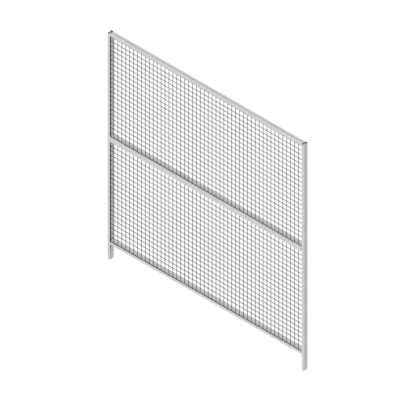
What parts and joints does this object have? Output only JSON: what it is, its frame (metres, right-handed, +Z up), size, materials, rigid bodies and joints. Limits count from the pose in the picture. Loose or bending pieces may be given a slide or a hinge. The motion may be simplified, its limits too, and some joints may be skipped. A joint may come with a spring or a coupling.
{
  "type": "machine guard fence panel",
  "caption": "Guard fence panel: slotted aluminium frame on two legs, a doubled middle rail, and square welded wire mesh clamped in both fields.",
  "frame": {"origin": "middle of the section at the left post's foot, on the floor", "axes": "+X along the panel to the right post, -Y towards the front, where the mesh lies nearest the face, +Z up"},
  "size_m": [2, 0.04, 1.992],
  "materials": {
    "frame": "satin natural anodised extrusion",
    "wire": "dark grey coated welded steel wire",
    "strip": "matt black elastomer"
  },
  "bodies": {
    "root": {"left_post": "frame", "right_post": "frame", "top_rail": "frame", "mid_rail_upper": "frame", "mid_rail_lower": "frame", "bottom_rail": "frame", "upper_mesh_left": "wire", "upper_mesh_middle": "wire", "upper_mesh_right": "wire", "lower_mesh_left": "wire", "lower_mesh_middle": "wire", "lower_mesh_right": "wire", "upper_strip_left": "strip", "upper_strip_right": "strip", "upper_strip_top": "strip", "upper_strip_bottom": "strip", "lower_strip_left": "strip", "lower_strip_right": "strip", "lower_strip_top": "strip", "lower_strip_bottom": "strip"}
  },
  "joints": []
}
